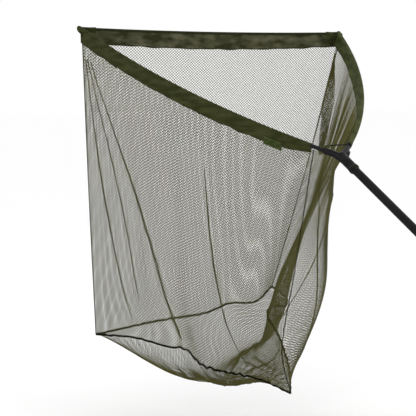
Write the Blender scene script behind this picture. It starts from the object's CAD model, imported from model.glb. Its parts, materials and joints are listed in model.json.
import bpy
import json
import numpy as np
from math import cos, log, pi, radians, sin
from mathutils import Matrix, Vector


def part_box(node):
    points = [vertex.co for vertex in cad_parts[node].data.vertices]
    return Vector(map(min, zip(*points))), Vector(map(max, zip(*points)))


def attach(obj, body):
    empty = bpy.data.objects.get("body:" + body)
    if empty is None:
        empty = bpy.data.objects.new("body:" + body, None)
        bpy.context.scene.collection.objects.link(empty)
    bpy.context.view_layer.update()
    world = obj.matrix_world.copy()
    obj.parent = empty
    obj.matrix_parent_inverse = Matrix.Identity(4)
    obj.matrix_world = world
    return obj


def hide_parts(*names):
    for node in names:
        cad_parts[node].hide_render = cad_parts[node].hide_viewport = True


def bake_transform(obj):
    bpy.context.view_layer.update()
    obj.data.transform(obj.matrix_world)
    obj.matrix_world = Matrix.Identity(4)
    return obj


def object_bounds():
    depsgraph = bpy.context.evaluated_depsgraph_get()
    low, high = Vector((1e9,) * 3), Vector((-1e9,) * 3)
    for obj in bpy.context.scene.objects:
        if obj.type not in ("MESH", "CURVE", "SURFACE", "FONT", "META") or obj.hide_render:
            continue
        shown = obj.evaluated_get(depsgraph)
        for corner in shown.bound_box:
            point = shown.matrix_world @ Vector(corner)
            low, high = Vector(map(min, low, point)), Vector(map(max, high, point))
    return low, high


# The looks of a carp landing net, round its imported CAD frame. Metres throughout.
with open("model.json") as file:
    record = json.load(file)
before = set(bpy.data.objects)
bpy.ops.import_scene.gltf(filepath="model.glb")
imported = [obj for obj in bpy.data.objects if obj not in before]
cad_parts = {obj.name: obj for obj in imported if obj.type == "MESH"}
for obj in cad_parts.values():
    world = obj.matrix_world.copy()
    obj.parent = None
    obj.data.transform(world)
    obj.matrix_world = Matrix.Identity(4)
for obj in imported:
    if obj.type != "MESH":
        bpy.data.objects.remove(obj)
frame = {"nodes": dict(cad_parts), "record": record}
cad_low, cad_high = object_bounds()

# ============================== places read from the frame =================================
JOINTS = {joint["name"]: joint for joint in frame["record"]["behaviour"]["joints"]}
X = np.array((1.0, 0.0, 0.0))
Z = np.array((0.0, 0.0, 1.0))
BLOCK = np.array(JOINTS["head_unscrew"]["pos_m"])        # where the two arm axes cross
ALONG = np.array(JOINTS["head_unscrew"]["axis"])         # up the handle, in the rim plane


def unit(vectors):
    """Vectors scaled to length one, along the last axis."""
    vectors = np.asarray(vectors, float)
    return vectors / np.maximum(np.linalg.norm(vectors, axis=-1, keepdims=True), 1e-12)


def node_box(node):
    """A CAD node's lowest and highest corners as arrays."""
    low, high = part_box(node)
    return np.array(low), np.array(high)


cord_low, cord_high = node_box("front_cord")
TIP_LINE = (cord_low + cord_high) / 2 * (0, 1, 1)        # the front cord's y and z
CORD_TO_TIP = 0.0096                                     # the cord stops this far short of a tip
TIP_X = cord_high[0] + CORD_TO_TIP
front_low, front_high = node_box("base_cord_front")
root_low, root_high = node_box("base_cord_a")
CORNER_A = np.array((front_low[0], front_low[1], front_low[2])) + (-0.008, 0.003, 0.002)
CORNER_B = np.array((front_high[0], front_high[1], front_high[2])) + (0.008, -0.003, -0.002)
CORNER_ROOT = np.array((root_high[0], root_low[1], root_low[2])) + (0.004, -0.005, 0.0)

# ============================== sizes =========================================================
ARM_STRAIGHT = 0.105        # straight root of an arm, before its bow
SLEEVE_START, SLEEVE_END = 0.106, 1.086
SLEEVE_R = 0.0082
FRONT_SLEEVE_R = 0.0042
HEM_REACH, HEM_HALF = 0.076, 0.062
MESH_WIDE, MESH_TALL = 0.0116, 0.0095     # one diamond of the mesh
STRAND_R, STRAND_STEP = 0.00098, 0.0150
STRAND_LEAN = MESH_WIDE / MESH_TALL
SEAM_R, BASE_CORD_R = 0.0017, 0.0036
HANG_FRAMES = 60
# the base hangs deepest this share of the way from the front cord to the root
POUCH_DEPTH, POUCH_PLACE, POUCH_SHARP = 0.160, 0.30, 1.8
# wall B draws in under the rim, then stands out to the right lower down
TUCK_IN, TUCK_SHARE = 0.035, 0.25
BELLY_OUT, BELLY_MIDDLE, BELLY_HALF = 0.095, 0.20, 0.17
# a sleeve's skirt grows to its full depth away from the block
SKIRT_DEPTH, SKIRT_FROM, SKIRT_TAPER = 0.050, 0.04, 0.11

# ============================== camera, light and floor =======================================
CAMERA_AZIMUTH, CAMERA_ELEVATION = radians(-28.7), radians(4.55)
CAMERA_DISTANCE, LENS = 4.90, 134.0
BLOCK_RIGHT, BLOCK_UP = 0.424, 0.1614                    # the block's place from the view's middle


def make_camera():
    right = np.array((cos(CAMERA_AZIMUTH), sin(CAMERA_AZIMUTH), 0))
    view = np.array((-sin(CAMERA_AZIMUTH) * cos(CAMERA_ELEVATION),
                     cos(CAMERA_AZIMUTH) * cos(CAMERA_ELEVATION), -sin(CAMERA_ELEVATION)))
    up = np.cross(right, view)
    data = bpy.data.cameras.new("camera")
    data.lens, data.sensor_width = LENS, 36.0
    camera = bpy.data.objects.new("camera", data)
    camera.location = BLOCK - right * BLOCK_RIGHT - up * BLOCK_UP - view * CAMERA_DISTANCE
    camera.rotation_mode = "QUATERNION"
    camera.rotation_quaternion = Vector(view).to_track_quat("-Z", "Y")
    bpy.context.collection.objects.link(camera)
    bpy.context.scene.camera = camera


def make_softbox(name, place, size, power):
    """A square area light that faces the net's middle."""
    data = bpy.data.lights.new(name, "AREA")
    data.size, data.energy = size, power
    light = bpy.data.objects.new(name, data)
    light.location = place
    aim = Vector((cad_low + cad_high) / 2) + Vector((0, 0.6, 0.2)) - Vector(place)
    light.rotation_mode = "QUATERNION"
    light.rotation_quaternion = aim.to_track_quat("-Z", "Y")
    bpy.context.collection.objects.link(light)


def make_studio():
    scene = bpy.context.scene
    scene.view_settings.view_transform = "Standard"
    world = bpy.data.worlds.new("studio")
    world.use_nodes = True
    world.node_tree.nodes["Background"].inputs["Color"].default_value = (1.0, 1.0, 1.0, 1)
    world.node_tree.nodes["Background"].inputs["Strength"].default_value = 1.0
    scene.world = world
    make_softbox("key_softbox", (-4.2, -3.2, 2.6), 3.0, 120)
    make_softbox("fill_softbox", (3.6, -2.4, 3.0), 2.5, 40)
    middle = (cad_low + cad_high) / 2
    half = 60.0
    floor = mesh_object("floor", [(middle[0] + x, middle[1] + y, cad_low[2] - 0.12)
                                  for x, y in ((-half, -half), (half, -half), (half, half), (-half, half))],
                        [(0, 1, 2, 3)])
    floor.data.materials.append(floor_material())


# ============================== meshes ========================================================
def mesh_object(name, points, faces, smooth=False):
    """A new mesh object from points and faces."""
    mesh = bpy.data.meshes.new(name)
    mesh.from_pydata([tuple(map(float, point)) for point in points], [], [tuple(face) for face in faces])
    if smooth:
        mesh.shade_smooth()
    thing = bpy.data.objects.new(name, mesh)
    bpy.context.collection.objects.link(thing)
    return thing


def quads_object(name, points, quads):
    """A smooth mesh object from arrays of points and four-cornered faces."""
    mesh = bpy.data.meshes.new(name)
    mesh.vertices.add(len(points))
    mesh.vertices.foreach_set("co", np.asarray(points, np.float32).ravel())
    mesh.loops.add(4 * len(quads))
    mesh.loops.foreach_set("vertex_index", np.asarray(quads, np.int32).ravel())
    mesh.polygons.add(len(quads))
    mesh.polygons.foreach_set("loop_start", np.arange(0, 4 * len(quads), 4, dtype=np.int32))
    mesh.update(calc_edges=True)
    mesh.validate()
    mesh.shade_smooth()
    thing = bpy.data.objects.new(name, mesh)
    bpy.context.collection.objects.link(thing)
    return thing


def slab(name, grid, thickness):
    """A thin closed slab over a grid of points."""
    rows, columns = grid.shape[:2]
    normal = grid_normals(grid) * thickness / 2
    points = np.vstack(((grid + normal).reshape(-1, 3), (grid - normal).reshape(-1, 3)))
    index = np.arange(rows * columns).reshape(rows, columns)
    front = np.stack((index[:-1, :-1], index[:-1, 1:], index[1:, 1:], index[1:, :-1]), axis=-1).reshape(-1, 4)
    rim = np.concatenate((index[0, :-1], index[:-1, -1], index[-1, :0:-1], index[:0:-1, 0]))
    around = np.roll(rim, -1)
    edge = np.stack((rim, rim + rows * columns, around + rows * columns, around), axis=-1)
    return quads_object(name, points, np.vstack((front, front[:, ::-1] + rows * columns, edge)))


def ripple(x, seed, octaves=4):
    """A smooth irregular wave of one or more coordinates, from about -1 to 1."""
    maker = np.random.RandomState(seed)
    total = np.zeros_like(np.asarray(x, float))
    for _ in range(octaves):
        total = total + np.sin(2 * pi * (np.asarray(x, float) * maker.uniform(0.55, 1.9) + maker.uniform()))
    return total / octaves ** 0.5 / 1.2


def tube_mesh(name, points, radius, sides=8):
    """A round tube along a dense line of points."""
    points = np.asarray(points, float)
    tangents = unit(np.gradient(points, axis=0))
    guide = np.where(np.abs(tangents @ Z)[:, None] > 0.9, X, Z)
    side = unit(np.cross(tangents, guide))
    other = np.cross(side, tangents)
    turn = np.arange(sides) * 2 * pi / sides
    radius = np.broadcast_to(np.asarray(radius, float), (len(points),))
    rings = (points[:, None] + radius[:, None, None]
             * (np.cos(turn)[None, :, None] * side[:, None] + np.sin(turn)[None, :, None] * other[:, None]))
    count = len(points)
    ring = np.arange(sides)
    start = np.arange(count - 1)[:, None] * sides
    quads = np.stack((start + ring, start + (ring + 1) % sides, start + sides + (ring + 1) % sides,
                      start + sides + ring), axis=-1).reshape(-1, 4)
    faces = [tuple(quad) for quad in quads] + [tuple(ring[::-1]), tuple((count - 1) * sides + ring)]
    return mesh_object(name, rings.reshape(-1, 3), faces, smooth=True)


def smooth_line(points, count):
    """A smooth line with this many points, through a few hand-placed ones."""
    points = np.asarray(points, float)
    padded = np.vstack((2 * points[0] - points[1], points, 2 * points[-1] - points[-2]))
    place = np.linspace(0, len(points) - 1 - 1e-9, count)
    cell = place.astype(int)
    part = (place - cell)[:, None]
    before, start, end, after = (padded[cell + shift] for shift in range(4))
    return 0.5 * (2 * start + (end - before) * part + (2 * before - 5 * start + 4 * end - after) * part ** 2
                  + (3 * start - before - 3 * end + after) * part ** 3)


def evenly(line, count):
    """A line's points spaced evenly by length."""
    steps = np.r_[0, np.cumsum(np.linalg.norm(np.diff(line, axis=0), axis=1))]
    wanted = np.linspace(0, steps[-1], count)
    return np.stack([np.interp(wanted, steps, line[:, axis]) for axis in range(3)], axis=1)


def length_of(line):
    return float(np.linalg.norm(np.diff(line, axis=0), axis=1).sum())


# ============================== the arms' curves ==============================================
root_axis = np.array(JOINTS["arm_b_pull"]["axis"])
ROOT_X, ROOT_REACH = root_axis[0], float(root_axis @ ALONG)
TIP_REACH = float((TIP_LINE - BLOCK * (0, 1, 1)) @ ALONG)
to_tip = np.array((TIP_X - ARM_STRAIGHT * ROOT_X, TIP_REACH - ARM_STRAIGHT * ROOT_REACH))
inward = np.array((-ROOT_REACH, ROOT_X))
BOW_R = float(to_tip @ to_tip / (2 * to_tip @ inward))
ROOT_HEADING = float(np.arctan2(ROOT_X, ROOT_REACH))


def arm_line(side, distance):
    """Points on an arm's axis at these distances from the spreader centre, and its headings."""
    distance = np.asarray(distance, float)
    turn = np.maximum(distance - ARM_STRAIGHT, 0) / BOW_R
    straight = np.minimum(distance, ARM_STRAIGHT)
    heading = ROOT_HEADING - turn
    chord_x = straight * ROOT_X + BOW_R * (np.cos(heading) - np.cos(ROOT_HEADING))
    reach = straight * ROOT_REACH + BOW_R * (np.sin(ROOT_HEADING) - np.sin(heading))
    points = BLOCK + side * chord_x[..., None] * X + reach[..., None] * ALONG
    headings = side * np.sin(heading)[..., None] * X + np.cos(heading)[..., None] * ALONG
    return points, headings


def rim_point(x, reach, drop=0.0):
    return BLOCK + x * X + reach * ALONG - drop * Z


# ============================== seams of the bag ==============================================
def bent(start, end, offsets, count=90):
    """A line between two corners, pushed off the straight by a few (share, x, z) steps."""
    steps = [start] + [start + (end - start) * share + x * X + z * Z for share, x, z in offsets] + [end]
    return evenly(smooth_line(steps, 6 * len(steps)), count)


TIP_A = rim_point(-TIP_X + 0.004, TIP_REACH - 0.002, 0.050)
TIP_B = rim_point(TIP_X - 0.004, TIP_REACH - 0.002, 0.050)
ROOT_TOP = rim_point(-HEM_HALF, HEM_REACH + 0.002, 0.014)
seam_a = bent(TIP_A, CORNER_A, [(0.5, -0.002, 0)])
seam_b = bent(TIP_B, CORNER_B, [(0.5, 0.007, 0)])
seam_root = bent(ROOT_TOP, CORNER_ROOT, [(0.5, -0.03, 0), (0.8, -0.05, 0)])
# cord A arches over one slack kink half way along
cord_a = bent(CORNER_ROOT, CORNER_A, [(0.15, -0.01, 0.02), (0.40, -0.02, 0.01), (0.50, -0.02, 0.05),
                                      (0.60, -0.02, 0.04), (0.80, 0, 0.03)], 150)
# cord B doubles back in a slack Z near its corner
cord_b = bent(CORNER_ROOT, CORNER_B, [(0.20, 0.01, 0.01), (0.50, -0.01, 0.01), (0.70, -0.04, 0),
                                      (0.80, -0.02, 0), (0.85, 0.05, -0.02), (0.92, 0.05, -0.01)], 220)


def softened(line, reach=16):
    """A line with its short kinks smoothed away and its ends kept."""
    padded = np.vstack((np.repeat(line[:1], reach, 0), line, np.repeat(line[-1:], reach, 0)))
    window = np.hanning(2 * reach + 3)[1:-1]
    smooth = np.stack([np.convolve(padded[:, axis], window / window.sum(), "valid") for axis in range(3)], 1)
    hold = np.clip(np.minimum(np.arange(len(line)), np.arange(len(line))[::-1]) / (2 * reach), 0, 1)[:, None]
    return line * (1 - hold) + smooth * hold


cord_front = bent(CORNER_A, CORNER_B, [(0.30, 0, -0.01), (0.60, 0, -0.03), (0.75, 0, -0.02),
                                       (0.90, 0, -0.04)])

# ============================== sleeves =======================================================
FRONT_DEPTH, FRONT_BELLY, CORD_SAG = 0.046, 0.010, 0.0075


def skirt_depth(side, distance):
    """How deep a sleeve's skirt hangs at these distances from the spreader centre."""
    grown = 1 - np.exp(-(distance - SKIRT_FROM) / SKIRT_TAPER)
    return SKIRT_DEPTH * grown + 0.0016 * ripple(distance * 9, 11 + side)


def sleeve_hang(side, distance):
    """The direction in which a sleeve's skirt hangs: towards the foot of its wall."""
    points, _ = arm_line(side, distance)
    foot_line = cord_a if side < 0 else cord_b
    share = np.clip((distance - SLEEVE_START) / (SLEEVE_END - SLEEVE_START), 0, 1)
    feet = np.stack([np.interp(share, np.linspace(0, 1, len(foot_line)), foot_line[:, axis])
                     for axis in range(3)], axis=1)
    return unit(feet - points)


def skirt_edge(side, distance):
    """The lower edge of a sleeve's skirt."""
    points, _ = arm_line(side, distance)
    return points + sleeve_hang(side, distance) * skirt_depth(side, distance)[:, None]


def sleeve_profile(radius, depth, rows=13):
    """Half-thickness and drop of a sleeve's closed section: over the arm and down both faces."""
    over = np.linspace(-pi / 2, pi / 2, 9)
    down = np.linspace(0.12, 1.0, rows)
    drop = down * depth
    gap = 0.0007 + (radius - 0.0007) * np.exp(-(drop / (1.35 * radius)) ** 2)
    gap = gap + 0.0005 * np.exp(-((down - 0.97) / 0.04) ** 2)
    outs = np.r_[-gap[::-1], radius * np.sin(over), gap]
    drops = np.r_[drop[::-1], -radius * np.cos(over), drop]
    return outs, drops


def make_sleeve(name, points, headings, hang, depth, radius, seed, fold):
    """A fabric sleeve along a line of points; returns the object."""
    outward = unit(np.cross(headings, hang))
    run = np.r_[0, np.cumsum(np.linalg.norm(np.diff(points, axis=0), axis=1))]
    rings = []
    for index, point in enumerate(points):
        outs, drops = sleeve_profile(radius[index], depth[index])
        slack = np.clip(drops / depth[index], 0, 1) ** 1.5
        wave = ripple(run[index] * 11 + drops * 3, seed)
        wave = wave + 0.6 * ripple(run[index] * 31 - drops * 9, seed + 1)
        outs = outs + fold * slack * wave
        rings.append(point + outs[:, None] * outward[index] + drops[:, None] * hang[index])
    rings = np.array(rings)
    count, sides = rings.shape[:2]
    ring = np.arange(sides - 1)
    start = np.arange(count - 1)[:, None] * sides
    quads = np.stack((start + ring, start + ring + 1, start + sides + ring + 1, start + sides + ring),
                     axis=-1).reshape(-1, 4)
    return quads_object(name, rings.reshape(-1, 3), quads)


# ============================== the bag's cloth ===============================================
# wall B's mesh fans out from the block: shares along its top and where they reach the foot
FAN_TOP = (0, 0.15, 0.40, 1)
FAN_FOOT = (0, 0.15, 0.60, 1)


def coons(top, bottom, left, right, columns, rows, fan_top=(0, 1), fan_foot=(0, 1)):
    """A grid of points filling four edges; left and right run from top to bottom."""
    top, bottom = evenly(top, columns), evenly(bottom, 400)
    places = np.interp(np.linspace(0, 1, columns), fan_top, fan_foot) * 399
    bottom = np.stack([np.interp(places, np.arange(400), bottom[:, axis]) for axis in range(3)], axis=1)
    left, right = evenly(left, rows), evenly(right, rows)
    across = np.linspace(0, 1, columns)[None, :, None]
    down = np.linspace(0, 1, rows)[:, None, None]
    ruled = top[None] * (1 - down) + bottom[None] * down
    sides = left[:, None] * (1 - across) + right[:, None] * across
    corners = (top[0] * (1 - across) + top[-1] * across) * (1 - down) \
        + (bottom[0] * (1 - across) + bottom[-1] * across) * down
    return ruled + sides - corners


def top_of_wall(side):
    """The upper edge of a side wall, from its root seam to its tip."""
    distance = np.linspace(SLEEVE_START + 0.004, 1.078, 110)
    edge = skirt_edge(side, distance) - sleeve_hang(side, distance) * 0.004
    tip = TIP_A if side < 0 else TIP_B
    if side < 0:
        return np.vstack((ROOT_TOP, edge, tip))
    hem_edge = smooth_line([ROOT_TOP, rim_point(-0.02, HEM_REACH - 0.004, 0.017),
                            rim_point(0.03, HEM_REACH, 0.016),
                            rim_point(HEM_HALF, HEM_REACH + 0.004, 0.013)], 24)
    return np.vstack((hem_edge, edge, tip))


def front_line(x):
    """The front cord's sag and the depth of its sleeve's skirt, across the front."""
    share = 1 - (x / TIP_X) ** 2
    return CORD_SAG * share, FRONT_DEPTH + FRONT_BELLY * share + 0.0012 * ripple(x * 8, 5)


def front_top():
    """The upper edge of the front wall, just inside the front sleeve's skirt."""
    middle = np.linspace(-TIP_X + 0.012, TIP_X - 0.012, 140)
    sag, depth = front_line(middle)
    line = np.array([rim_point(x, TIP_REACH, drop) for x, drop in zip(middle, sag + depth - 0.004)])
    return np.vstack((TIP_A, line, TIP_B))


def panel_grids():
    """The four cloth panels as grids of points, before they hang."""
    tall, wide = 96, 108
    grids = {
        "wall_a": coons(top_of_wall(-1), softened(cord_a), seam_root, seam_a, wide, tall),
        "wall_b": coons(top_of_wall(1), softened(cord_b), seam_root, seam_b, wide, tall, FAN_TOP, FAN_FOOT),
        "front": coons(front_top(), cord_front, seam_a, seam_b, wide, tall),
        "base": coons(cord_front, np.array((CORNER_ROOT, CORNER_ROOT + 1e-9 * X)),
                      softened(cord_a)[::-1], softened(cord_b)[::-1], wide, 64),
    }
    grids["base"] -= pouch(*grids["base"].shape[:2])[..., None] * Z
    return grids


def pouch(rows, columns):
    """How deep the base hangs below its three cords."""
    u = np.linspace(0, 1, columns)[None, :]
    v = np.linspace(0, 1, rows)[:, None]
    along = np.clip(np.sin(pi * v ** (log(0.5) / log(POUCH_PLACE))), 0, 1) ** POUCH_SHARP
    return POUCH_DEPTH * np.clip(np.sin(pi * u ** 0.8), 0, 1) ** 0.5 * along


# how much wider each panel's cloth is than its gap, at the top and the foot, and how much taller
EASE = {"wall_a": (1.0, 1.015, 1.0), "wall_b": (1.0, 1.01, 1.0), "front": (1.0, 1.01, 1.0),
        "base": (1.0, 1.0, 1.0)}
# how much finer than that the mesh is gathered, at the top and the foot
GATHER = {"wall_a": (1.02, 1.30), "wall_b": (0.95, 1.45), "front": (1.02, 1.28), "base": (1.45, 1.45)}


def drape(grids):
    """Lets the four panels hang by cloth simulation, held along the rim, the seams and the cords."""
    start, cut, faces, held, first = [], [], [], [], 0
    for name, grid in grids.items():
        rows, columns = grid.shape[:2]
        index = first + np.arange(rows * columns).reshape(rows, columns)
        faces.append(np.stack((index[:-1, :-1], index[:-1, 1:], index[1:, 1:], index[1:, :-1]),
                              axis=-1).reshape(-1, 4))
        held.append(np.concatenate((index[0], index[-1], index[:, 0], index[:, -1])))
        top_wide, foot_wide, tall = EASE[name]
        wide = (top_wide + (foot_wide - top_wide) * np.linspace(0, 1, rows))[:, None, None]
        middle = grid.mean(axis=1, keepdims=True)
        level = unit((grid[0, -1] - grid[0, 0]) * (1, 1, 0 if name != "base" else 1))
        away = ((grid - middle) @ level)[..., None] * level
        larger = (grid * tall + away * (wide - tall)).reshape(-1, 3)
        points = grid.reshape(-1, 3)
        fold_rise = folds_of(name, rows, columns).reshape(-1, 1)
        start.append(points + grid_normals(grid).reshape(-1, 3) * fold_rise)
        cut.append(larger)
        first += rows * columns
    cloth = quads_object("cloth", np.vstack(start), np.vstack(faces))
    cloth.shape_key_add(name="hung")
    key = cloth.shape_key_add(name="cut")
    key.data.foreach_set("co", np.vstack(cut).astype(np.float32).ravel())
    key.value = 0
    group = cloth.vertex_groups.new(name="sewn")
    group.add([int(index) for index in np.unique(np.concatenate(held))], 1.0, "REPLACE")
    modifier = cloth.modifiers.new("cloth", "CLOTH")
    settings = modifier.settings
    settings.vertex_group_mass = "sewn"
    settings.rest_shape_key = key
    settings.quality = 5
    settings.mass = 0.03
    settings.tension_stiffness = 18
    settings.compression_stiffness = 4
    settings.shear_stiffness = 1.5
    settings.bending_stiffness = 0.15
    settings.air_damping = 3
    modifier.collision_settings.use_collision = False
    scene = bpy.context.scene
    modifier.point_cache.frame_start = 1
    modifier.point_cache.frame_end = HANG_FRAMES
    for moment in range(1, HANG_FRAMES + 1):
        scene.frame_set(moment)
    hung = cloth.evaluated_get(bpy.context.evaluated_depsgraph_get()).to_mesh()
    points = np.empty(len(hung.vertices) * 3, np.float32)
    hung.vertices.foreach_get("co", points)
    points = points.reshape(-1, 3).astype(float)
    first = 0
    for name, grid in grids.items():
        count = grid.shape[0] * grid.shape[1]
        grids[name] = points[first:first + count].reshape(grid.shape)
        first += count
    bpy.data.objects.remove(cloth)
    scene.frame_set(1)


def folds_of(name, rows, columns):
    """Shallow folds given to a panel before the simulation, which changes them little."""
    u = np.linspace(0, 1, columns)[None, :]
    v = np.linspace(0, 1, rows)[:, None]
    hold = np.clip(np.sin(pi * u) * np.sin(pi * v), 0, 1) ** 0.7
    seed = {"wall_a": 3, "wall_b": 5, "front": 8, "base": 13}[name]
    wave = ripple(u * 8 + 0.5 * v, seed) + 0.6 * ripple(u * 19 - 0.6 * v, seed + 1) \
        + 0.15 * ripple(v * 4 + u * 2, seed + 2)
    return {"wall_a": 0.002, "wall_b": 0.002, "front": 0.0015, "base": 0.003}[name] * hold * wave


def root_belly(rows, columns):
    """How far wall B stands out to the right near the block: set by hand, added after the simulation."""
    u = np.linspace(0, 1, columns)[None, :]
    v = np.linspace(0, 1, rows)[:, None]
    hold = np.clip(np.sin(pi * u / 0.7), 0, 1) ** 0.3 * (u < 0.7)
    push = np.exp(-((u - BELLY_MIDDLE) / BELLY_HALF) ** 2) * hold
    tuck = TUCK_IN * np.sin(pi * np.clip(v / TUCK_SHARE, 0, 1))
    swell = BELLY_OUT * np.sin(pi * np.clip((v - TUCK_SHARE) / (1 - TUCK_SHARE), 0, 1) ** 1.5)
    return (push * (swell - tuck))[..., None] * np.array((0.9, -0.43, 0.0))


def grid_normals(grid):
    """The unit normal at each point of a grid."""
    down, across = np.gradient(grid, axis=(0, 1))
    return unit(np.cross(across, down))


def grid_area(grid):
    """The area of a grid of points."""
    across, down = np.diff(grid, axis=1)[:-1], np.diff(grid, axis=0)[:, :-1]
    return float(np.linalg.norm(np.cross(across, down), axis=-1).sum())


def sample(grid, across, down):
    """Bilinear points of a grid at these shares across and down it."""
    rows, columns = grid.shape[:2]
    x = np.clip(across, 0, 1) * (columns - 1)
    y = np.clip(down, 0, 1) * (rows - 1)
    column = np.minimum(x.astype(int), columns - 2)
    row = np.minimum(y.astype(int), rows - 2)
    fx, fy = (x - column)[:, None], (y - row)[:, None]
    return ((grid[row, column] * (1 - fx) + grid[row, column + 1] * fx) * (1 - fy)
            + (grid[row + 1, column] * (1 - fx) + grid[row + 1, column + 1] * fx) * fy)


def strand_net(name, grid, top_width, foot_width, height, side_limit=None, extra=(), radius=STRAND_R):
    """Diamond mesh: two families of diagonal strands laid over a grid of cloth."""
    normals = grid_normals(grid)
    slope = (foot_width - top_width) / (2 * height)
    low_limit, high_limit = side_limit or (-OPEN, OPEN)
    all_points, all_quads, total = [], [], 0
    turn = np.array((pi / 2, pi / 2 + 2 * pi / 3, pi / 2 + 4 * pi / 3))
    for lean in (-STRAND_LEAN, STRAND_LEAN):
        reach = max(top_width, foot_width) / 2 + height * STRAND_LEAN
        for offset in np.arange(-reach, reach, MESH_WIDE):
            first, last = 0.0, height
            # keep the stretch where the strand lies inside the panel and the limits
            for rate, room in ((lean - slope, top_width / 2 - offset),
                               (-lean - slope, top_width / 2 + offset),
                               (lean, high_limit - offset), (-lean, offset - low_limit)):
                if abs(rate) < 1e-9:
                    if room < 0:
                        last = -1
                elif rate > 0:
                    last = min(last, room / rate)
                else:
                    first = max(first, room / rate)
            if last - first < 0.002:
                continue
            count = max(2, int(np.ceil((last - first) * (1 + lean ** 2) ** 0.5 / STRAND_STEP)) + 1)
            down = np.linspace(first, last, count)
            width = top_width + 2 * slope * down
            across = (offset + lean * down) / np.maximum(width, 1e-6) + 0.5
            points = sample(grid, across, down / height)
            normal = unit(sample(normals, across, down / height))
            tangent = unit(np.gradient(points, axis=0))
            side = unit(np.cross(normal, tangent))
            rings = points[:, None] + radius * (np.cos(turn)[None, :, None] * side[:, None]
                                                + np.sin(turn)[None, :, None] * normal[:, None])
            start = total + 3 * np.arange(count - 1)[:, None]
            ring = np.arange(3)
            quads = np.stack((start + ring, start + (ring + 1) % 3, start + 3 + (ring + 1) % 3,
                              start + 3 + ring), axis=-1).reshape(-1, 4)
            all_points.append(rings.reshape(-1, 3))
            all_quads.append(quads)
            total += 3 * count
    for points, quads in extra:
        all_points.append(points)
        all_quads.append(quads + total)
        total += len(points)
    return quads_object(name, np.vstack(all_points), np.vstack(all_quads))


# creases of each panel: start and end as (across, down), sideways bow, widths at start, middle and end
CREASES = {
    "wall_a": [((0.98, 0.05), (0.80, 0.95), 0.02, (0.001, 0.007, 0.001)),
               ((0.97, 0.05), (0.75, 0.85), -0.03, (0.001, 0.005, 0.001)),
               ((0.95, 0.05), (0.55, 0.95), -0.04, (0.001, 0.010, 0.012)),
               ((0.40, 0.20), (0.20, 0.95), 0.04, (0.001, 0.008, 0.001))],
    "wall_b": [((0.98, 0.03), (0.88, 0.40), 0.0, (0.002, 0.090, 0.030)),
               ((0.05, 0.05), (0.15, 0.95), 0.0, (0.001, 0.005, 0.001)),
               ((0.20, 0.05), (0.35, 0.95), 0.03, (0.001, 0.004, 0.001)),
               ((0.35, 0.05), (0.55, 0.95), 0.03, (0.001, 0.004, 0.001))],
    "base": [((0.97, 0.05), (0.55, 0.40), 0.05, (0.030, 0.035, 0.002)),
             ((0.97, 0.60), (0.50, 0.45), 0.0, (0.002, 0.018, 0.002)),
             ((0.05, 0.30), (0.70, 0.65), 0.0, (0.002, 0.012, 0.002)),
             ((0.05, 0.50), (0.45, 0.75), 0.0, (0.002, 0.012, 0.002))],
}
FOLD_LAYER_GAP = 0.0022


def fold_strip(middle, side, normal, width):
    """Zigzag strands of a strip where the mesh lies doubled over, as points and faces."""
    run = np.r_[0, np.cumsum(np.linalg.norm(np.diff(middle, axis=0), axis=1))]

    def place(distance, across, lift):
        share = np.clip(distance, 0, run[-1])
        at = [np.stack([np.interp(share, run, line[:, axis]) for axis in range(3)], axis=-1)
              for line in (middle, side, normal)]
        wide = np.interp(share, run, width)
        return at[0] + at[1] * (across * wide)[..., None] + at[2] * lift[..., None]

    begins = np.arange(0, run[-1], MESH_TALL)
    lines = []
    for lean in (-1, 1):
        wide = np.interp(begins, run, width)
        pieces = max(2, int(np.ceil(float(width.max()) / 0.009)))
        turns = np.linspace(0, 2, 2 * pieces + 1)
        distance = begins[:, None] + lean * turns[None] * wide[:, None] / STRAND_LEAN
        across = 0.5 - np.abs(turns - 1)[None] + 0 * distance
        lift = FOLD_LAYER_GAP * np.sin(pi * turns)[None] + 0 * distance
        lines.append(place(distance, across, lift))
    lines = np.concatenate(lines)
    tangents = unit(np.gradient(lines, axis=1))
    beside = np.tile(begins, 2)[:, None] + np.zeros(lines.shape[:2])
    normals = np.stack([np.interp(beside, run, normal[:, axis]) for axis in range(3)], axis=-1)
    return strand_prisms(lines, tangents, normals)


def strand_prisms(lines, tangents, normals):
    """Three-sided strands along many lines with equal counts of points."""
    turn = np.array((pi / 2, pi / 2 + 2 * pi / 3, pi / 2 + 4 * pi / 3))
    side = unit(np.cross(normals, tangents))
    rings = lines[:, :, None] + STRAND_R * (np.cos(turn)[None, None, :, None] * side[:, :, None]
                                            + np.sin(turn)[None, None, :, None] * normals[:, :, None])
    strands, count = lines.shape[:2]
    start = (np.arange(strands)[:, None, None] * count + np.arange(count - 1)[None, :, None]) * 3
    ring = np.arange(3)[None, None]
    quads = np.stack((start + ring, start + (ring + 1) % 3, start + 3 + (ring + 1) % 3, start + 3 + ring),
                     axis=-1).reshape(-1, 4)
    return rings.reshape(-1, 3), quads


def panel_folds(name, grid):
    """The doubled strips along a panel's creases, and the strands that each crease pulls together."""
    normals, strips = grid_normals(grid), []
    share = np.linspace(0, 1, 60)
    for start, end, bow, widths in CREASES.get(name, []):
        across = start[0] + (end[0] - start[0]) * share + bow * np.sin(pi * share)
        down = start[1] + (end[1] - start[1]) * share
        middle = sample(grid, across, down)
        normal = unit(sample(normals, across, down))
        side = unit(np.cross(normal, unit(np.gradient(middle, axis=0))))
        width = np.interp(share, (0, 0.5, 1), widths)
        strips.append(fold_strip(middle, side, normal, width))
        gathered = np.array([middle + side * (width * np.clip(offset + 0.25 * ripple(down * 7, 30 + strand),
                                                              -0.5, 0.5))[:, None]
                             + normal * 0.0012 * (strand - 1)
                             for strand, offset in enumerate((-0.12, 0.0, 0.12))])
        strips.append(strand_prisms(gathered, unit(np.gradient(gathered, axis=1)),
                                    np.repeat(normal[None], 3, 0)))
    return strips


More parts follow.
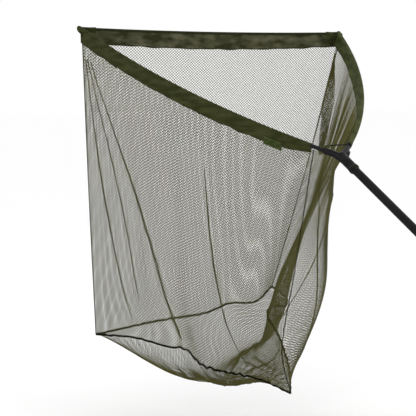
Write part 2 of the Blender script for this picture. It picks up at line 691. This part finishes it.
# ============================== materials =====================================================
def new_material(name):
    """A node material with its Principled shader, and a helper that adds nodes."""
    material = bpy.data.materials.new(name)
    material.use_nodes = True
    return material, material.node_tree.nodes, material.node_tree.links


def ramp(nodes, links, factor, stops):
    """A colour ramp fed by a factor."""
    node = nodes.new("ShaderNodeValToRGB")
    while len(node.color_ramp.elements) < len(stops):
        node.color_ramp.elements.new(0.5)
    for element, (place, colour) in zip(node.color_ramp.elements, stops):
        element.position = place
        element.color = (*colour, 1)
    links.new(factor, node.inputs["Fac"])
    return node.outputs["Color"]


def noise(nodes, links, scale, detail=4.0, stretch=(1, 1, 1)):
    """Noise over the object's own metres."""
    place = nodes.new("ShaderNodeTexCoord")
    mapping = nodes.new("ShaderNodeMapping")
    mapping.inputs["Scale"].default_value = stretch
    node = nodes.new("ShaderNodeTexNoise")
    node.inputs["Scale"].default_value = scale
    node.inputs["Detail"].default_value = detail
    links.new(place.outputs["Object"], mapping.inputs["Vector"])
    links.new(mapping.outputs["Vector"], node.inputs["Vector"])
    return node.outputs["Fac"]


def bump(nodes, links, shader, height, strength, distance):
    node = nodes.new("ShaderNodeBump")
    node.inputs["Strength"].default_value = strength
    node.inputs["Distance"].default_value = distance
    links.new(height, node.inputs["Height"])
    links.new(node.outputs["Normal"], shader.inputs["Normal"])


def mottled(name, stops, scale, roughness, bump_scale=900.0, bump_depth=0.0003, bump_strength=0.4,
            metallic=0.0, sheen=0.0, specular=0.15, stretch=(1, 1, 1)):
    """A surface whose colour and roughness wander with noise, with a fine grain in its bump."""
    material, nodes, links = new_material(name)
    shader = nodes["Principled BSDF"]
    tone = noise(nodes, links, scale, 6.0, stretch)
    links.new(ramp(nodes, links, tone, stops), shader.inputs["Base Color"])
    rough = nodes.new("ShaderNodeMapRange")
    rough.inputs["To Min"].default_value = roughness - 0.08
    rough.inputs["To Max"].default_value = roughness + 0.08
    links.new(tone, rough.inputs["Value"])
    links.new(rough.outputs["Result"], shader.inputs["Roughness"])
    shader.inputs["Metallic"].default_value = metallic
    shader.inputs["Sheen Weight"].default_value = sheen
    shader.inputs["Specular IOR Level"].default_value = specular
    bump(nodes, links, shader, noise(nodes, links, bump_scale, 3.0, stretch), bump_strength, bump_depth)
    return material


def woven(name, dark, light, thread=0.0011, mottle=14.0, sheen=0.03, stretch=(1, 1, 1)):
    """Woven cloth: crossed threads in its bump and tone, worn lighter in patches."""
    material, nodes, links = new_material(name)
    shader = nodes["Principled BSDF"]
    place = nodes.new("ShaderNodeTexCoord")
    waves = []
    for direction in ("X", "Z"):
        wave = nodes.new("ShaderNodeTexWave")
        wave.bands_direction = direction
        wave.inputs["Scale"].default_value = 1 / thread / 20 * 2 * pi
        wave.inputs["Distortion"].default_value = 0.6
        links.new(place.outputs["Object"], wave.inputs["Vector"])
        waves.append(wave.outputs["Fac"])
    weave = nodes.new("ShaderNodeMath")
    weave.operation = "MAXIMUM"
    links.new(waves[0], weave.inputs[0])
    links.new(waves[1], weave.inputs[1])
    patches = ramp(nodes, links, noise(nodes, links, mottle, 5.0, stretch), [(0.40, dark), (0.68, light)])
    shade = nodes.new("ShaderNodeMix")
    shade.data_type = "RGBA"
    shade.blend_type = "MULTIPLY"
    shade.inputs["Factor"].default_value = 0.35
    links.new(patches, shade.inputs["A"])
    links.new(weave.outputs["Value"], shade.inputs["B"])
    links.new(shade.outputs["Result"], shader.inputs["Base Color"])
    shader.inputs["Roughness"].default_value = 0.78
    shader.inputs["Sheen Weight"].default_value = sheen
    shader.inputs["Sheen Roughness"].default_value = 0.4
    shader.inputs["Specular IOR Level"].default_value = 0.05
    bump(nodes, links, shader, weave.outputs["Value"], 0.45, 0.0003)
    return material


def floor_material():
    return mottled("floor_paper", [(0.3, (0.985, 0.985, 0.985)), (0.7, (0.992, 0.992, 0.992))], 3.0, 0.85,
                   bump_scale=60.0, bump_strength=0.05)


make_camera()
make_studio()

black = mottled("black_moulding", [(0.3, (0.004, 0.0038, 0.0044)), (0.7, (0.008, 0.007, 0.008))], 60, 0.42,
                specular=0.09)
blank = mottled("handle_blank", [(0.3, (0.004, 0.004, 0.004)), (0.7, (0.008, 0.008, 0.008))], 30, 0.44,
                specular=0.07, stretch=(1, 0.2, 0.4))
rod_black = mottled("arm_glass_fibre", [(0.3, (0.004, 0.004, 0.005)), (0.7, (0.008, 0.008, 0.009))], 40, 0.3,
                    specular=0.10)
foam = mottled("grip_foam", [(0.3, (0.012, 0.012, 0.012)), (0.7, (0.022, 0.022, 0.022))], 300, 0.85,
               bump_scale=1400, bump_depth=0.0006, bump_strength=0.8)
rubber = mottled("cap_rubber", [(0.3, (0.010, 0.010, 0.010)), (0.7, (0.018, 0.018, 0.018))], 80, 0.7)
anodised = mottled("anodised_black", [(0.3, (0.012, 0.012, 0.013)), (0.7, (0.020, 0.020, 0.022))], 90, 0.35,
                   metallic=0.6)
brass = mottled("turned_brass", [(0.3, (0.48, 0.34, 0.12)), (0.7, (0.62, 0.46, 0.18))], 90, 0.3, metallic=1.0)
steel = mottled("stud_steel", [(0.3, (0.42, 0.42, 0.43)), (0.7, (0.56, 0.56, 0.57))], 120, 0.3, metallic=1.0)
cord_black = mottled("cord_black", [(0.3, (0.010, 0.010, 0.010)), (0.7, (0.022, 0.022, 0.020))], 300, 0.8,
                     bump_scale=1500, bump_strength=0.8)
sleeve_cloth = woven("sleeve_cloth", (0.024, 0.027, 0.007), (0.046, 0.049, 0.017), mottle=30.0,
                     stretch=(1, 0.4, 2.2))
sleeve_cloth_b = woven("sleeve_cloth_b", (0.034, 0.043, 0.011), (0.075, 0.088, 0.030), mottle=30.0,
                       stretch=(1, 0.4, 1.4))
front_cloth = woven("front_sleeve_cloth", (0.026, 0.028, 0.010), (0.105, 0.103, 0.062), mottle=15.0,
                    stretch=(1, 1, 2.2))
hem_green = mottled("hem_tape", [(0.3, (0.026, 0.030, 0.008)), (0.7, (0.050, 0.056, 0.018))], 120, 0.8,
                    bump_scale=1200, bump_strength=0.7, specular=0.05)
edge_green = mottled("edge_binding", [(0.3, (0.012, 0.014, 0.005)), (0.7, (0.026, 0.029, 0.011))], 160, 0.8,
                     bump_scale=1200, bump_strength=0.7, specular=0.05)
cord_olive = mottled("base_cord", [(0.3, (0.004, 0.004, 0.002)), (0.7, (0.011, 0.011, 0.005))], 260, 0.9,
                     bump_scale=1500, bump_strength=0.8, specular=0.05)
seam_green = mottled("seam_tape", [(0.3, (0.008, 0.010, 0.003)), (0.7, (0.018, 0.020, 0.007))], 120, 0.8,
                     bump_scale=1200, bump_strength=0.7)
net_olive = mottled("net_strand", [(0.3, (0.055, 0.054, 0.012)), (0.7, (0.098, 0.094, 0.028))], 7.0, 0.7,
                    bump_scale=2000, bump_strength=0.3, specular=0.1)
label_green = woven("label_weave", (0.020, 0.030, 0.007), (0.046, 0.062, 0.018), thread=0.0016, mottle=120.0)
label_thread = mottled("label_thread", [(0.3, (0.16, 0.19, 0.08)), (0.7, (0.24, 0.27, 0.13))], 400, 0.7)

NODE_LOOKS = {
    "butt_section_tube": blank, "top_section_tube": blank, "butt_grip": foam, "butt_cap": rubber,
    "grip_trim_ring": anodised, "joint_band_lower": anodised, "joint_band_upper": anodised,
    "joint_spigot": blank, "thread_insert": brass, "lock_ring": anodised, "spreader_block": black,
    "threaded_stud": steel,
}
for arm in ("arm_a", "arm_b"):
    NODE_LOOKS.update({f"{arm}_rod": rod_black, f"{arm}_collar": black, f"{arm}_tip_cap": black})
for node, material in NODE_LOOKS.items():
    thing = frame["nodes"][node]
    thing.data.materials.clear()
    thing.data.materials.append(material)

# ============================== the bag =======================================================
grids = panel_grids()
ruled = {name: grid.copy() for name, grid in grids.items()}
drape(grids)
grids["wall_b"] += root_belly(*grids["wall_b"].shape[:2])
flats = {}
for name, grid in ruled.items():
    top_wide, foot_wide, tall = EASE[name]
    top, foot = length_of(grid[0]) * top_wide, max(length_of(grid[-1]) * foot_wide, 0.004)
    sides = 0.5 * (length_of(grid[:, 0]) + length_of(grid[:, -1])) * tall
    grown = (grid_area(grid) * (top_wide + foot_wide) / 2 * tall / ((top + foot) / 2 * sides)) ** 0.5
    flats[name] = (top * grown * GATHER[name][0], foot * grown * GATHER[name][1], sides * grown)


OPEN = 9.0        # a cut this far out takes nothing off a panel


def cut_size(panel, low=-OPEN, high=OPEN):
    """Width, length and area, laid flat, of the part of a panel between two cuts down its height."""
    top, foot, height = flats[panel]
    half = np.linspace(top, foot, 400) / 2
    widths = np.clip(np.minimum(high, half) - np.maximum(low, -half), 0, None)
    return float(widths.max()), height, float(widths.mean() * height)


def dress(piece, material, body, *nodes):
    piece.data.materials.append(material)
    if body:
        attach(piece, body)
    if nodes:
        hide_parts(*nodes)
    return piece


def blend_wall(piece):
    """A side wall follows its arm all along the sleeve that it is sewn to, and the head lower down."""
    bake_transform(piece)


def blend_span(piece):
    """Half a span follows one arm at its end, and the head at the middle and lower down."""
    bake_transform(piece)


def net_piece(name, panel, nodes, share=(0, 1), creases=True):
    """The mesh of a panel, or of the part of it between two shares of its top edge."""
    top, foot, height = flats[panel]
    low = -OPEN if share[0] == 0 else (share[0] - 0.5) * top
    high = OPEN if share[1] == 1 else (share[1] - 0.5) * top
    piece = strand_net(name, grids[panel], top, foot, height, side_limit=(low, high),
                       extra=panel_folds(panel, grids[panel]) if creases else (),
                       radius=STRAND_R * (0.92 if panel == "wall_b" else 1.0))
    dress(piece, net_olive, None, *nodes)
    return piece


# the rear gore is wall B's first stretch, along the hem; it is split at the hem's middle. Below the rim
# its edges lean in from HEM_HALF, so gore B parts from wall B by up to 32 mm when arm B is pulled
GORE_SHARE = 2 * HEM_HALF / length_of(top_of_wall(1))
blend_wall(net_piece("net_wall_a", "wall_a", ["wall_a_mesh"]))
blend_wall(net_piece("net_wall_b", "wall_b", ["wall_b_mesh"], (GORE_SHARE, 1)))
for half, side, share in (("a", -1, (0, GORE_SHARE / 2)), ("b", 1, (GORE_SHARE / 2, GORE_SHARE))):
    piece = net_piece(f"net_gore_{half}", "wall_b", ["rear_gore_mesh"], share, creases=False)
    blend_span(piece)
for half, side, share in (("a", -1, (0, 0.5)), ("b", 1, (0.5, 1))):
    piece = net_piece(f"net_front_{half}", "front", ["front_wall_mesh"], share, creases=False)
    blend_span(piece)
piece = strand_net("net_base", grids["base"], *flats["base"], extra=panel_folds("base", grids["base"]))
dress(piece, net_olive, "head", "base_mesh")
wide, tall, area = cut_size("base")

# seams
for name, line, radius, nodes in (("seam_root", seam_root, SEAM_R, ["root_seam"]),
                                  ("rope_a", cord_a, BASE_CORD_R, ["base_cord_a"]),
                                  ("rope_b", cord_b, BASE_CORD_R, ["base_cord_b"]),
                                  ("rope_front", cord_front, BASE_CORD_R, ["base_cord_front"])):
    line = evenly(line, 320)
    shares = np.linspace(0, 1, len(line))
    loose = np.clip(np.sin(pi * shares), 0, 1) ** 0.5 * (0.0028 if name != "seam_root" else 0.0012)
    for shift, direction in ((0, Z), (3, X)):
        line = line + (loose * ripple(shares * 16, 70 + shift))[:, None] * direction
    piece = tube_mesh(name, line, radius * (1 + 0.22 * ripple(shares * 30, 91)))
    if name == "seam_root":
        dress(piece, seam_green, None, *nodes)
        blend_wall(piece)
    else:
        dress(piece, cord_olive, "head", *nodes)
for side, line, node in ((-1, seam_a, "corner_seam_a"), (1, seam_b, "corner_seam_b")):
    piece = tube_mesh(node.replace("corner_", "") + "_tape", evenly(line, 220), SEAM_R)
    dress(piece, seam_green, None, node)
    blend_wall(piece)

# sleeves over the arms
for side, arm in ((-1, "arm_a"), (1, "arm_b")):
    distance = np.linspace(SLEEVE_START, SLEEVE_END, 150)
    points, headings = arm_line(side, distance)
    depth = skirt_depth(side, distance)
    closing = np.sqrt(np.clip((SLEEVE_END - distance) / 0.012, 0, 1)) * 0.85 + 0.15
    piece = make_sleeve(f"{arm}_sleeve_cloth", points, headings, sleeve_hang(side, distance), depth,
                        SLEEVE_R * closing, 40 + side, 0.0016)
    dress(piece, sleeve_cloth if side < 0 else sleeve_cloth_b, arm, f"{arm}_sleeve")
    hem_line = points + sleeve_hang(side, distance) * depth[:, None]
    dress(tube_mesh(f"{arm}_sleeve_hem", hem_line[2:-2], 0.0017), seam_green, arm)

    # the pocket that wraps the arm's tip and the cord's knot
    tip, _ = arm_line(side, np.array((1.045, 1.070, 1.090)))
    turn_out = rim_point(side * (TIP_X + 0.008), TIP_REACH - 0.003, 0.004)
    pocket = smooth_line([tip[0], tip[1], tip[2] + side * X * 0.003, turn_out - ALONG * 0.004,
                          turn_out + ALONG * 0.010 - side * X * 0.007,
                          rim_point(side * (TIP_X - 0.004), TIP_REACH + 0.009, 0.004),
                          rim_point(side * (TIP_X - 0.030), TIP_REACH + 0.002, 0.002),
                          rim_point(side * (TIP_X - 0.055), TIP_REACH)], 60)
    pocket = evenly(pocket, 60)
    shares = np.linspace(0, 1, 60)
    shallow = 0.047 - 0.003 * np.sin(pi * shares)
    sides_hang = unit(sleeve_hang(side, np.array((1.06,)))[0] * (1 - shares)[:, None] - Z * shares[:, None]
                      - 0.42 * side * X * np.sin(pi * shares)[:, None] ** 2)
    piece = make_sleeve(f"{arm}_tip_pocket", pocket, unit(np.gradient(pocket, axis=0)), sides_hang, shallow,
                        0.0060 + 0.0014 * np.sin(pi * shares), 50 + side, 0.0003)
    dress(piece, sleeve_cloth if side < 0 else sleeve_cloth_b, arm)

for half, side in (("a", -1), ("b", 1)):
    xs = np.linspace(side * (TIP_X - 0.004), 0, 110)
    sag, depth = front_line(xs)
    points = np.array([rim_point(x, TIP_REACH, drop) for x, drop in zip(xs, sag)])
    headings = np.repeat((-side * X)[None], len(xs), axis=0)
    hang = np.repeat(-Z[None], len(xs), axis=0)
    piece = make_sleeve(f"front_sleeve_{half}", points, headings, hang, depth,
                        np.full(len(xs), FRONT_SLEEVE_R), 61 + side, 0.0028)
    dress(piece, front_cloth, None, "front_sleeve", "front_cord")
    blend_span(piece)
    for edge, drop, radius in (("binding", 0.0, 0.0052), ("hem", depth, 0.0022)):
        edge_line = points + hang * np.broadcast_to(drop, len(xs))[:, None]
        piece = tube_mesh(f"front_{edge}_{half}", edge_line, radius)
        dress(piece, edge_green, None)
        blend_span(piece)

# the rear hem and its elastic
hem = smooth_line([rim_point(-HEM_HALF - 0.010, HEM_REACH + 0.004, 0.0), rim_point(-0.046, HEM_REACH, 0.006),
                   rim_point(-0.026, HEM_REACH, 0.005), rim_point(-0.004, HEM_REACH - 0.002, 0.0)], 60)
piece = tube_mesh("hem_tape", hem, 0.0054 - 0.0022 * np.linspace(0, 1, 60) ** 2)
dress(piece, hem_green, None, "rear_hem_tape")
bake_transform(piece)
elastic = smooth_line([rim_point(-0.006, HEM_REACH - 0.002, 0.0), rim_point(0.03, HEM_REACH, -0.001),
                       rim_point(0.062, HEM_REACH, -0.001)], 40)
piece = dress(tube_mesh("elastic_span", elastic, 0.0023), cord_black, None, "rear_elastic")
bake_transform(piece)

# the elastic's loop, wound round rod B, and the knots that stop the front cord
rod_at, rod_heading = arm_line(1, np.array((0.098,)))
round_side = unit(np.cross(rod_heading[0], Z))
round_up = np.cross(round_side, rod_heading[0])
turns = np.linspace(-0.3, 2 * pi * 1.6, 90)
wound = rod_at[0] + 0.0086 * (np.cos(turns)[:, None] * round_side + np.sin(turns)[:, None] * round_up) \
    + (turns / turns[-1] - 0.5)[:, None] * 0.0036 * rod_heading[0]
dress(tube_mesh("elastic_wound_loop", wound, 0.0017), cord_black, "arm_b", "elastic_loop")
for side, arm in ((-1, "arm_a"), (1, "arm_b")):
    knot_low, knot_high = node_box(f"{arm}_cord_knot")
    turns = np.linspace(0, 2 * pi, 70)
    trefoil = np.stack((-np.sin(3 * turns), np.sin(turns) + 2 * np.sin(2 * turns),
                        np.cos(turns) - 2 * np.cos(2 * turns)), axis=1) / 3
    line = (knot_low + knot_high) / 2 - side * X * 0.004 + trefoil * ((knot_high - knot_low) / 2 - 0.0016)
    dress(tube_mesh(f"{arm}_stopper_knot", line, 0.0014), cord_black, arm, f"{arm}_cord_knot")

# the woven label under sleeve A, sewn along its top edge
LABEL_FROM, LABEL_TO, LABEL_TOP, LABEL_FOOT = 0.204, 0.270, 0.027, 0.053
label_run = np.linspace(LABEL_FROM, LABEL_TO, 34)
label_top, label_headings = arm_line(-1, label_run)
label_hang = sleeve_hang(-1, label_run)
label_out = unit(np.cross(label_headings, label_hang)) * -1.0
if label_out[0] @ np.array((-1.0, -1.0, 0)) < 0:
    label_out = -label_out
drops = np.linspace(LABEL_TOP, LABEL_FOOT, 14)
curl = 0.0026 + 0.0016 * np.linspace(0, 1, 14) ** 2
flutter = 0.0012 * ripple(label_run * 30, 4)[None] * np.linspace(0, 1, 14)[:, None]
label_grid = label_top[None] + label_hang[None] * drops[:, None, None] \
    + label_out[None] * (curl[:, None] + flutter)[..., None]
piece = dress(slab("label_woven", label_grid, 0.0009), label_green, "arm_a", "label_tab")
stitch_points, stitch_faces = [], []
for row, column_range in ((1, range(1, 32, 2)), (12, range(1, 32, 2))):
    for column in column_range:
        start, end = label_grid[row, column], label_grid[row, column + 1]
        lift = label_out[column] * 0.0006
        down = label_hang[column] * 0.0005
        first = len(stitch_points)
        stitch_points += [start + lift - down, end + lift - down, end + lift + down, start + lift + down,
                          (start + end) / 2 + 2 * lift]
        stitch_faces += [(first, first + 1, first + 4), (first + 1, first + 2, first + 4),
                         (first + 2, first + 3, first + 4), (first + 3, first, first + 4),
                         (first + 3, first + 2, first + 1, first)]
dress(mesh_object("label_stitches", stitch_points, stitch_faces), label_thread, "arm_a")
